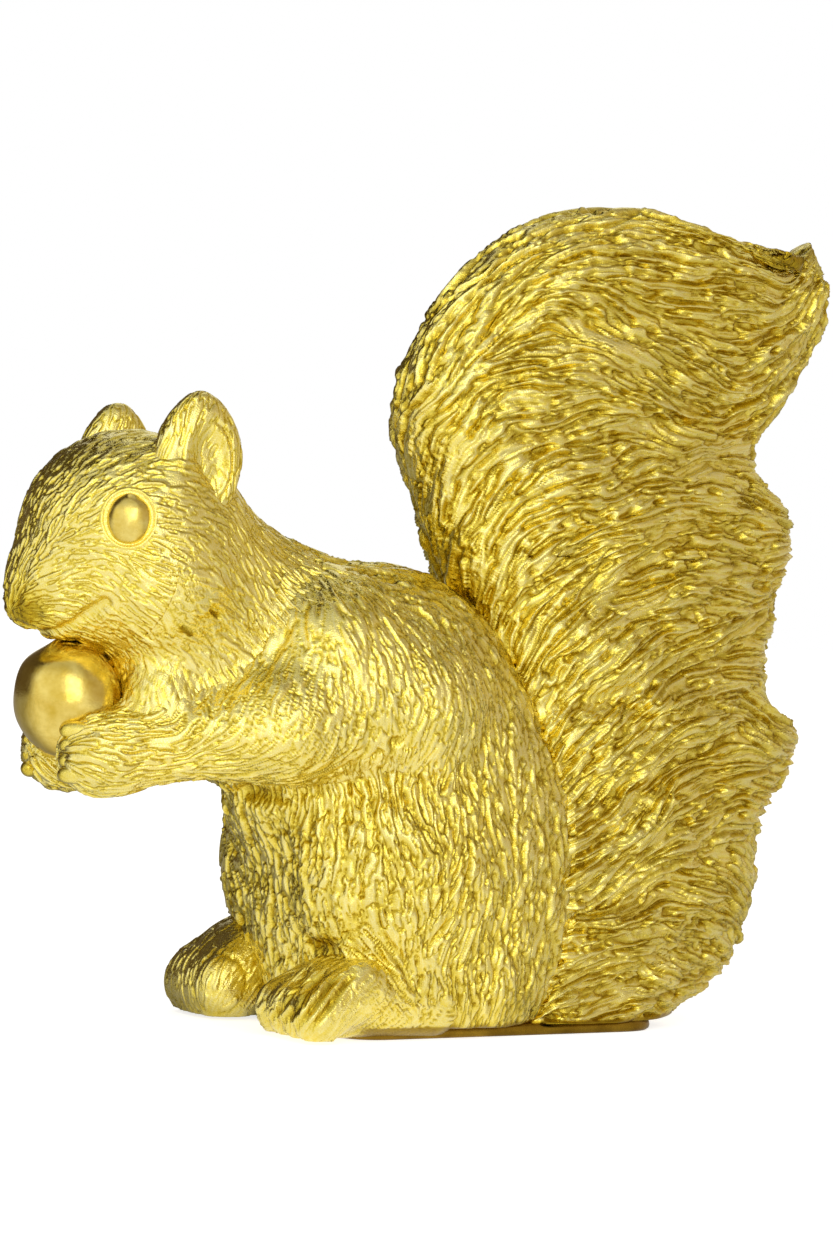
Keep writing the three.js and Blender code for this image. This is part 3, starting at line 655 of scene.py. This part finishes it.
# Its sides run out into the rump in a soft hollow.
hollow = 4
rump_gap = figure_mass(tail_skin.astype(np.float32)).clip(-2)
rump = np.log(1 + np.exp(-rump_gap / hollow)) * hollow
tail_skin[..., 1] += np.sign(tail_skin[..., 1]) * rump * (np.abs(tail_skin[..., 1]) / 8).clip(0, 1)
tail_out = outward(tail_skin)
tail_table = [
    (12, 10, 57, 0.5, 0, 0.85), (0, 10, 70, 0.35, 0, 0.95), (-6, 10, 85, 0.35, 0, 0.95),
    (-8, 8, 100, 0.6, 0, 0.8), (0, 8, 116, 0.8, 0, 0.6), (15, 8, 126, 0.95, 0, 0.3),
    (35, 8, 128, 1, 0, -0.1), (50, 8, 122, 0.95, 0, -0.25), (62, 4, 124, 0.75, 0, 0.6),
    (68, 3, 116, 0.35, 0, 0.95), (10, 12, 100, 0.97, 0, 0.2), (20, 12, 111, 0.95, 0, -0.3),
    (38, 10, 105, 0.93, 0, -0.36), (55, 8, 100, 0.92, 0, 0.35), (60, 6, 108, 0.8, 0, 0.55),
    (20, 12, 85, 0.95, 0, 0.35), (40, 10, 88, 1, 0, 0), (55, 8, 84, 1, 0, -0.05),
    (15, 14, 70, 0.75, 0, 0.65), (30, 12, 72, 0.95, 0, 0.3), (50, 10, 70, 1, 0, 0),
    (62, 6, 72, 0.98, 0, 0.2), (28, 12, 52, 0.7, 0, 0.7), (45, 10, 55, 0.95, 0, 0.25),
    (58, 8, 52, 0.98, 0, -0.1), (30, 12, 38, 0.75, 0, 0.65), (45, 10, 38, 0.97, 0, 0.2),
    (60, 6, 40, 0.97, 0, -0.25), (28, 12, 25, 0.85, 0, 0.5), (45, 10, 24, 0.98, 0, -0.05),
    (56, 6, 20, 0.85, 0, -0.5), (25, 12, 12, 0.95, 0, 0.2), (40, 8, 10, 0.9, 0, -0.4),
]
tail_lie = combed(tail_skin, tail_out, tail_table, swirl=0.26)
tail_locks, tail_lock = comb(tail_skin, tail_lie, length=15, width=2.4, height=(0.2, 0.6), seed=31)
tail_tufts, tail_tuft = comb(tail_skin, tail_lie, length=9, width=0.95, height=(0.3, 0.9), seed=32)
tail_strokes, tail_crest = comb(
    tail_skin, tail_lie, length=4, width=0.48, height=(0.18, 0.42), seed=33)
tail_band = above_trim(tail_skin)
# The relief fades out towards the tip.
tail_tip = ((tail_end - tail_rows) / 0.08).clip(0.1, 1)[:, None]
tail_relief = (tail_locks + tail_tufts + tail_strokes - 1.35) * tail_band * tail_tip
tail_grid = tail_skin + tail_out * tail_relief[..., None]
tail_grid[..., 2] = tail_grid[..., 2].clip(fur_foot)
tail_facing = outward(tail_grid)
# Grooves between strokes, tufts and locks and the band at the foot are painted darker: painted
# shade.
tail_shade = lifted(tail_crest, 0.6) * lifted(tail_tuft, 0.35) * lifted(tail_lock, 0.85)
tail_shade = tail_shade * lifted(tail_band, 0.2)
for part, rows in (("lower", slice(0, 390)), ("upper", slice(389, 800))):
    halves(f"tail_{part}", tail_grid[rows], tail_facing[rows], gilding, "gilding", "tail_casting",
           furrow=tail_shade[rows], lie=tail_lie[rows])

# Head. A separate casting pinned on at the neck: skull, muzzle, cheeks and the fur of the throat.
# The eyes sit in smooth rings, and the mouth is a smooth groove that widens to its corner.


def face_and_throat(place):
    """The face and the throat with their part of the neck."""
    neck = np.maximum(neck_mass(place), -past_seam(place) - seam_lap)
    return pressed([face_mass(place), neck, throat_mass(place)], soft_join)


head_spine = [(-34, 0, 64), (-54.4, 0, 75.5), (-65.2, 0, 67)]
head_rows = np.concatenate([np.zeros(17), np.linspace(0, 1, 236), np.ones(70)])
head_tilts = np.radians(np.concatenate([
    -np.linspace(89, 24, 5), -np.linspace(13, 1, 12), np.zeros(236), 89 * np.linspace(0.012, 1, 70),
]))
head_turns = 2 * np.pi * np.arange(520) / 520
head_mass = part_mass(face_and_throat, margin=1.5)
head_skin = skin(head_mass, head_spine, head_rows, head_tilts, head_turns)
head_out = outward(head_skin)
head_side = mirrored(head_skin)
# Distance from the axis of an eye, in a ring that is a little taller than it is wide.
eye_place = np.float32((-60.5, 12.5, 77.0))
eye_axis = np.float32((-0.48, 0.87, 0.06))
eye_ring = 4.1
eye_gap = head_side - eye_place
eye_depth = eye_gap @ eye_axis
eye_gap = (eye_gap - eye_depth[..., None] * eye_axis) * np.float32((1.03, 1.03, 0.93))
eye_gap = np.where(np.abs(eye_depth) < 8, np.sqrt((eye_gap**2).sum(-1)), 99)
mouth = np.minimum(limb(head_side, (-69.5, 0, 58.9), (-67.2, 4.3, 60), 0.1, 0.2),
                   limb(head_side, (-67.2, 4.3, 60), (-62.7, 10.1, 64.4), 0.2, 0.3))
head_table = [
    (-66, 4, 84, 0.6, 0, 0.8), (-62, 9.6, 84, 0.9, 0, 0.35), (-54, 5, 90, 1, 0, 0.1),
    (-52, 13, 80, 1, 0, -0.1), (-52, 16, 68, 0.95, 0, -0.3), (-56, 13, 63, 0.85, 0, -0.55),
    (-69, 8, 69, 0.8, 0, 0.2), (-71, 3, 74, 0.6, 0, 0.8), (-62, 10, 62, 0.9, 0, -0.5),
    (-40, 12, 72, 0.65, 0, -0.75), (-52, 10, 56, 0.75, 0, -0.65), (-50, 10, 48, 0.3, 0, -0.95),
    (-42, 2, 82, 0.85, 0, -0.5),
]
head_lie = combed(head_skin, head_out, head_table, swirl=0.2)
head_fur = np.clip((eye_gap - eye_ring) / 0.5, 0, 1) * np.clip(0.35 + (mouth - 0.1) / 1.2, 0, 1)
head_strokes, head_crest = comb(
    head_skin, head_lie, length=1.8, width=0.4, height=(0.1, 0.25), seed=41)
head_tufts, _ = comb(head_skin, head_lie, length=4, width=1.1, height=(0.06, 0.22), seed=42)
head_relief = (head_strokes + head_tufts) * head_fur - 0.22
head_relief -= 0.5 * dent(mouth.clip(0), 0.75)
head_relief -= 0.7 * dent(distance(head_side, (-72.8, 1.9, 64.6)), 0.7)
head_relief += 0.26 * dent(eye_gap - eye_ring, 0.25)
# Knobs of the nose and lips.
for knob in ((-73, 1.6, 66.2), (-72.6, 3.6, 64.4), (-71.6, 2.6, 61.8), (-70, 5.4, 62.4)):
    head_relief += 0.55 * dent(distance(head_side, knob), 0.9)
# Short slits between the tufts of the cheek and throat.
flank = head_side * np.float32((1, 0, 1))
slits = ((-47.8, 64, -46, 63), (-52.4, 61.5, -50.4, 60.3))
slit = np.min([crease(flank, (x0, 0, z0), (x1, 0, z1)) for x0, z0, x1, z1 in slits], 0)
pits = dent(slit, 0.32) * (head_side[..., 1] > 6)
head_relief -= 0.4 * pits
head_grid = head_skin + head_out * head_relief[..., None]
# Bare places have one even shade. The grooves, the slits and the snout are painted darker: painted
# shade.
bare_shade = 0.85
snout = dent(distance(head_side, (-72, 2.5, 62.6)), 3.5)
head_shade = bare_shade + (lifted(head_crest, 0.4) - bare_shade) * head_fur
head_shade = head_shade * (1 - pits) * (1 - 0.75 * snout)
halves("head", head_grid, outward(head_grid), gilding, "gilding", "head_casting",
       lie=head_lie, furrow=head_shade)

# Ears. Leaves of the same casting. A long hollow faces outwards behind a broad furred front edge,
# with a carved fold inside the rear of the rim.
ear_turns = 2 * np.pi * np.arange(170) / 170
ring_count = 56
ear_rings = np.sin(np.linspace(0.02, 1, ring_count) * np.pi / 2)
ear_ring = np.concatenate([ear_rings, ear_rings[-2::-1]])[:, None]
ear_outer = np.arange(len(ear_ring))[:, None] < ring_count
ear_tall = 9.8
ear_table = [
    (-48, 12, 86, 0.12, 0, 1), (-53, 12, 88, 0.3, 0, 1), (-43, 12, 84, -0.15, 0, 1),
]
ears = (("left", -1, 7.0, (-48.8, -10.4, 86.7)), ("right", 1, 6.3, (-53, 10.2, 85)))
for name, side, ear_half, ear_place in ears:
    upward = ear_tall * ear_ring * np.sin(ear_turns)
    across = ear_half * ear_ring * np.cos(ear_turns) * (1 - 0.2 * (upward / ear_tall).clip(0) ** 2)
    # The hollow is an oval: away is one on its rim, and rear is one where the rim faces back.
    beside = (across - 1.2) / 3.6
    away = np.hypot(beside, (upward + 0.8) / 6.2)
    rear = (beside / away.clip(0.05)).clip(0, 1) ** 0.5
    slope = ((away - 0.35) / 0.75).clip(0, 1)
    carved = 0.35 * dent(away - 0.85, 0.1) * rear - 0.4 * dent(away - 1.02, 0.06) * rear
    carved += 0.3 * dent(away - 1.2, 0.15) * (1 - rear)
    carved += 0.2 * dent(ear_ring - 0.94, 0.06) - (1 - slope**2 * (3 - 2 * slope))
    thick = 2.1 * np.sqrt(1 - ear_ring.clip(0, 0.9999) ** 4) * np.where(ear_outer, 1, -1)
    leaf = np.stack([across, thick + carved * ear_outer, upward], -1)
    leaf = (leaf * (1, side, 1) + ear_place)[:, ::side]
    ear_out = outward(leaf)
    ear_lie = combed(leaf, ear_out, ear_table, swirl=0.3)
    ear_strokes, ear_crest = comb(
        leaf, ear_lie, length=2.2, width=0.4, height=(0.09, 0.2), seed=61 + side)
    furred = np.where(ear_outer & (away[:, ::side] < 1.0), 0.6, 1)
    ear_grid = leaf + ear_out * (ear_strokes * furred)[..., None]
    # Grooves between the strokes are painted darker: painted shade.
    ear_shade = bare_shade + (lifted(ear_crest, 0.3) - bare_shade) * furred
    ear = ring_piece(f"{name}_ear", ear_grid, gilding, "gilding", furrow=ear_shade, lie=ear_lie)
    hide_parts("head_casting")

# Eyes. Smooth domed beads of resin, glued into the rings of the face before painting.


def spun(radius, height, count):
    """A profile of radii and heights, turned round the upright axis in a number of columns."""
    turns = 2 * np.pi * np.arange(count) / count
    return np.stack([radius * np.cos(turns), radius * np.sin(turns), height + 0 * turns], -1)


bead_rows = np.linspace(0.02, 0.98, 40)[:, None] * np.pi
bead_paint = smooth_gilding("eye_gilding", blotch=420.0, grain=900.0, dull=0.3,
                            thin=(0.66, 0.47, 0.07, 1), full=(0.9, 0.75, 0.24, 1))
for name, side in (("left", -1), ("right", 1)):
    low, high = (np.array(corner) * 1000 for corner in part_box(f"{name}_eye"))
    radius = (high - low) / 2
    bead = spun(np.sin(bead_rows), -np.cos(bead_rows), 80)
    uneven = 1 + 0.03 * speckle(bead * radius, 1.5, 71)
    bead = bead * radius * (0.94, 0.94, 1.08) * uneven[..., None]
    bead_axis = np.array((-0.48, side * 0.87, 0.06))
    bead = bead - 0.25 * (bead @ bead_axis)[..., None] * bead_axis
    bead = (low + high) / 2 + (0.3, side * 0.8, 0.6) + bead
    eye = ring_piece(f"{name}_eye_bead", bead, bead_paint, "smooth_gilding")
    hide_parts(f"{name}_eye")

# Arms. Each is a casting pinned to the shoulder, with the fur combed down the upper arm and along
# the forearm to a paw whose four fingers hold the nut.
arm_rows = np.concatenate([np.zeros(80), np.linspace(0, 1, 180), np.ones(30)])
arm_tilts = np.radians(np.concatenate([
    -89 * np.linspace(1, 0.01, 80), np.zeros(180), 89 * np.linspace(0.02, 1, 30),
]))
arm_turns = 2 * np.pi * np.arange(330) / 330
arm_table = [
    (-24, 20, 60, 0.15, 0, -1), (-10, 22, 54, 0.1, 0, -1), (-8, 22, 46, -0.1, 0, -1),
    (-20, 22, 48, 0, 0, -1), (-30, 22, 48, -0.05, 0, -1), (-26, 22, 41, -0.45, 0, -0.9),
    (-38, 20, 48, -0.15, 0, -1), (-40, 20, 42, -0.75, 0, -0.7), (-48, 17, 43, -0.9, 0, -0.4),
    (-54, 15, 43, -1, -0.3, -0.1), (-63, 10, 43, -1, -0.2, 0.1), (-47, 14, 50, -0.2, 0, -1),
]
arm_reach = part_mass(arm_mass, margin=1.2)


def one_arm(side):
    """The arm of one side, which stops a fifth of a millimetre before the middle plane."""
    def mass(place):
        reach, past = arm_reach(place), 0.2 - place[..., 1] * side
        return np.where(past < 0, reach, np.maximum(reach, past))

    return mass


def digit(path, radii):
    """A finger: circles square to a smooth path, their radii read evenly along it, closed to
    blunt round ends."""
    share = np.linspace(0, 1, 46)
    middle = smooth_curve(path, share)
    ahead = np.gradient(middle, axis=0)
    beside = np.cross(ahead, (0, 0, 1))
    beside /= np.linalg.norm(beside, axis=1, keepdims=True)
    above = np.cross(ahead, beside)
    above /= np.linalg.norm(above, axis=1, keepdims=True)
    ends = np.sqrt(1 - (2 * share - 1).clip(-0.99, 0.99) ** 8)
    radius = np.interp(share, np.linspace(0, 1, len(radii)), radii) * ends
    turns = 2 * np.pi * np.arange(28)[None, :, None] / 28
    circle = np.cos(turns) * beside[:, None] + np.sin(turns) * above[:, None]
    return middle[:, None] + radius[:, None, None] * circle


for name, side in (("left", -1), ("right", 1)):
    joints = [(-13, side * 13.2, 50.5), (-35, side * 14.5, 47.2), (-60.2, side * 6.7, 42)]
    arm_skin = skin(one_arm(side), joints, arm_rows, arm_tilts, arm_turns)
    arm_out = outward(arm_skin)
    arm_lie = combed(arm_skin, arm_out, arm_table, swirl=0.25)
    arm_strokes, arm_crest = comb(
        arm_skin, arm_lie, length=3, width=0.44, height=(0.22, 0.42), seed=51 + side)
    arm_tufts, _ = comb(arm_skin, arm_lie, length=6, width=1.4, height=(0.1, 0.3), seed=55 + side)
    arm_fold = dent(crease(mirrored(arm_skin), (-20, 22.1, 45.6), (-5.5, 21.1, 50)), 0.8)
    arm_grid = arm_skin + arm_out * (arm_strokes + arm_tufts - 0.36 - 0.8 * arm_fold)[..., None]
    # Grooves and the fold at the shoulder are painted darker: painted shade.
    arm_shade = lifted(arm_crest, 0.3) * (1 - 0.6 * arm_fold)
    arm = ring_piece(f"{name}_arm", arm_grid, gilding, "gilding", furrow=arm_shade, lie=arm_lie,
                     worn=worn_paint(arm_skin))
    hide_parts(f"{name}_arm_casting")
    for number in range(4):
        path = [(-57, side * 9, 41.2 + 0.7 * number), (-63, side * 9.4, 39.2 + 1.95 * number),
                (-67.3, side * 6.2, 38.6 + 2.25 * number)]
        finger = digit(path, radii=(0.8, 1, 1.3, 1.45, 1.3))
        # Painted shade, darker towards both ends.
        shade = 0.8 - 0.35 * np.linspace(-1, 1, len(finger))[:, None] ** 4
        shade = np.broadcast_to(shade, finger.shape[:2])
        piece = ring_piece(f"{name}_finger_{number + 1}", finger, gilding, "gilding", furrow=shade)
        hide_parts(f"{name}_arm_casting")

# Nut. A smooth egg of resin, a little pointed above, pinned between the paws under the chin.
nut_profile = np.array([(0.0, -9.3), (5.15, -7.44), (8.3, -0.93), (5.98, 6.32), (0.0, 9.3)])
nut_outline = smooth_curve(nut_profile, np.linspace(0.01, 0.99, 90))
nut_grid = spun(nut_outline[:, :1], nut_outline[:, 1:], 140)
nut_grid = nut_grid * (1 + 0.008 * speckle(nut_grid, 3.5, 72))[..., None]
lean = np.radians(16)
nut_lean = np.array([(np.cos(lean), 0, np.sin(lean)), (0, 1, 0), (-np.sin(lean), 0, np.cos(lean))])
nut_grid = nut_grid @ nut_lean + (-63.4, 0, 49.7)
nut_paint = smooth_gilding("nut_gilding", blotch=300.0, grain=2800.0, dull=0.27,
                           thin=(0.62, 0.43, 0.055, 1), full=(0.86, 0.69, 0.2, 1))
nut = ring_piece("nut_shell", nut_grid, nut_paint, "smooth_gilding")
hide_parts("nut")

# Dowels and nut pin. Plain ground steel rods, glued into bored holes inside the castings.
steel, steel_shader, add, links = painted("dowel_steel")
place = add("ShaderNodeTexCoord").outputs["Object"]
scratch = add("ShaderNodeTexNoise", [(place, "Vector")], Scale=1800.0, Detail=4.0).outputs["Fac"]
links.new(ranged(add, scratch, (0, 1), (0.25, 0.5)), steel_shader.inputs["Roughness"])
tone = ramped(add, scratch, (0.0, (0.3, 0.31, 0.33, 1)), (1.0, (0.6, 0.61, 0.63, 1)))
links.new(tone, steel_shader.inputs["Base Color"])
steel_shader.inputs["Metallic"].default_value = 1.0
rods = ("neck_dowel", "tail_dowel_lower", "tail_dowel_upper", "left_shoulder_dowel",
        "right_shoulder_dowel", "nut_pin")
for node in rods:
    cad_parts[node].data.materials.clear()
    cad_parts[node].data.materials.append(steel)

# Floor and light. A white sweep that keeps the shadow, and a studio with one broad soft source
# beside the camera, darker to the left and overhead.


def round_walls(add, coordinate, share):
    """Shades of the room round the compass, from behind the figure past its left wall, the front
    and its right wall: a radial gradient turned by 118.8 degrees, through a ramp of warm greys.
    Gives the gradient and the shades."""
    way = add("ShaderNodeTexCoord").outputs[coordinate]
    turned = add("ShaderNodeMapping", [(way, "Vector")], Rotation=(0, 0, np.radians(118.8)))
    compass = add("ShaderNodeTexGradient", [(turned.outputs[0], "Vector")], gradient_type="RADIAL")
    levels = ((0.0, 1), (0.03, 1), (0.05, 0.1), (0.25, 0.1), (0.32, 1), (0.6, 1), (0.66, 0.6),
              (0.9, 0.55), (0.96, 1), (1.0, 1))
    stops = []
    for position, level in levels:
        warm = np.multiply(share * level, (1, 0.7 + 0.3 * level, 0.4 + 0.6 * level))
        stops.append((position, (*warm, 1)))
    return compass.outputs["Fac"], ramped(add, compass.outputs["Fac"], *stops)


floor_mesh = bpy.data.meshes.new("floor")
floor_mesh.from_pydata([(-4, -4, 0), (4, -4, 0), (4, 4, 0), (-4, 4, 0)], [], [(0, 1, 2, 3)])
floor = bpy.data.objects.new("floor", floor_mesh)
bpy.context.scene.collection.objects.link(floor)
white, matt, add, links = painted("floor_white")
matt.inputs["Roughness"].default_value = 0.9
matt.inputs["Specular IOR Level"].default_value = 0.0
ray = add("ShaderNodeLightPath").outputs
reflected = maths(add, "MAXIMUM", ray["Is Glossy Ray"], ray["Is Transmission Ray"])
room_shades = round_walls(add, "Object", 0.6)[1]
# In reflections the floor darkens towards the wall beyond it.
darkening = maths(add, "MULTIPLY", reflected, 0.4)
ground = add("ShaderNodeMix", [(darkening, 0), (room_shades, 7)], data_type="RGBA")
ground.inputs[6].default_value = (0.8, 0.8, 0.8, 1)
links.new(ground.outputs[2], matt.inputs["Base Color"])
lit = maths(add, "MULTIPLY", reflected, room_shades)
strength = maths(add, "MULTIPLY_ADD", ray["Is Camera Ray"], 0.75, lit)
glow = add("ShaderNodeEmission", [(strength, "Strength")])
both = add("ShaderNodeAddShader", [(matt.outputs[0], 0), (glow.outputs[0], 1)])
links.new(both.outputs[0], white.node_tree.nodes["Material Output"].inputs["Surface"])
floor_mesh.materials.append(white)

world = bpy.data.worlds.new("studio")
bpy.context.scene.world = world
world.use_nodes = True
add, links = node_maker(world.node_tree), world.node_tree.links
compass, walls = round_walls(add, "Generated", 1.0)
# The room darkens overhead.
way = add("ShaderNodeTexCoord").outputs["Generated"]
overhead = add("ShaderNodeSeparateXYZ", [(way, 0)]).outputs["Z"]
ceiling = ramped(add, overhead, (0.45, (1, 1, 1, 1)), (0.85, (0.6, 0.6, 0.6, 1)))
room = add("ShaderNodeVectorMath", [(walls, 0), (ceiling, 1)], operation="MULTIPLY")
studio = world.node_tree.nodes["Background"]
studio.inputs["Strength"].default_value = 1.13
links.new(room.outputs[0], studio.inputs["Color"])
backdrop = add("ShaderNodeBackground", Color=(1, 1, 1, 1))
# Reflections see the backdrop too, in the sector behind the figure.
ray = add("ShaderNodeLightPath").outputs
reflected = maths(add, "MAXIMUM", ray["Is Glossy Ray"], ray["Is Transmission Ray"])
behind = maths(add, "LESS_THAN", maths(add, "PINGPONG", compass, 0.5), 0.04)
shown = maths(add, "MULTIPLY_ADD", reflected, behind, ray["Is Camera Ray"])
pick = add("ShaderNodeMixShader", [(shown, 0), (studio.outputs[0], 1), (backdrop.outputs[0], 2)])
links.new(pick.outputs[0], world.node_tree.nodes["World Output"].inputs["Surface"])


def aimed(name, data, place, aim, up):
    """A lamp or a camera at a place in metres, turned to an aim, with its top side up."""
    back = np.subtract(place, aim) / np.linalg.norm(np.subtract(place, aim))
    right = np.cross(up, back)
    right /= np.linalg.norm(right)
    turned = np.eye(4)
    turned[:3] = np.stack([right, np.cross(back, right), back, place], 1)
    holder = bpy.data.objects.new(name, data)
    holder.matrix_world = Matrix(turned.tolist())
    bpy.context.scene.collection.objects.link(holder)
    return holder


middle = np.array((0, 0, 0.06))
lamp = bpy.data.lights.new("key", "AREA")
lamp.shape, lamp.size, lamp.energy = "SQUARE", 0.5, 1.2
aimed("key", lamp, (-0.25, -0.8, 0.35), middle, (0, 0, 1))

# Camera. Level with the figure, 65 cm away and 29 degrees round towards its face, tipped a little
# to one side as the photograph is.
azimuth, elevation, roll = np.radians((-28.8, 0.9, -2.8))
level = np.cos(elevation)
back = np.array((np.sin(azimuth) * level, -np.cos(azimuth) * level, np.sin(elevation)))
right = np.cross(-back, (0, 0, 1))
right /= np.linalg.norm(right)
up = np.cross(right, -back)
right, up = np.cos(roll) * right - np.sin(roll) * up, np.sin(roll) * right + np.cos(roll) * up
stand = middle + 0.65 * back
aim = middle - right * 0.00401 + up * 0.00314
lens = bpy.data.cameras.new("camera")
lens.sensor_fit = "VERTICAL"
lens.sensor_height = 36
# The picture is 1250 pixels tall and shows 6.36 of them a millimetre at 650 mm.
lens.lens = 36 * 6.36 * 650 / 1250
bpy.context.scene.camera = aimed("camera", lens, stand, aim, up)
bpy.context.scene.view_settings.view_transform = "Standard"
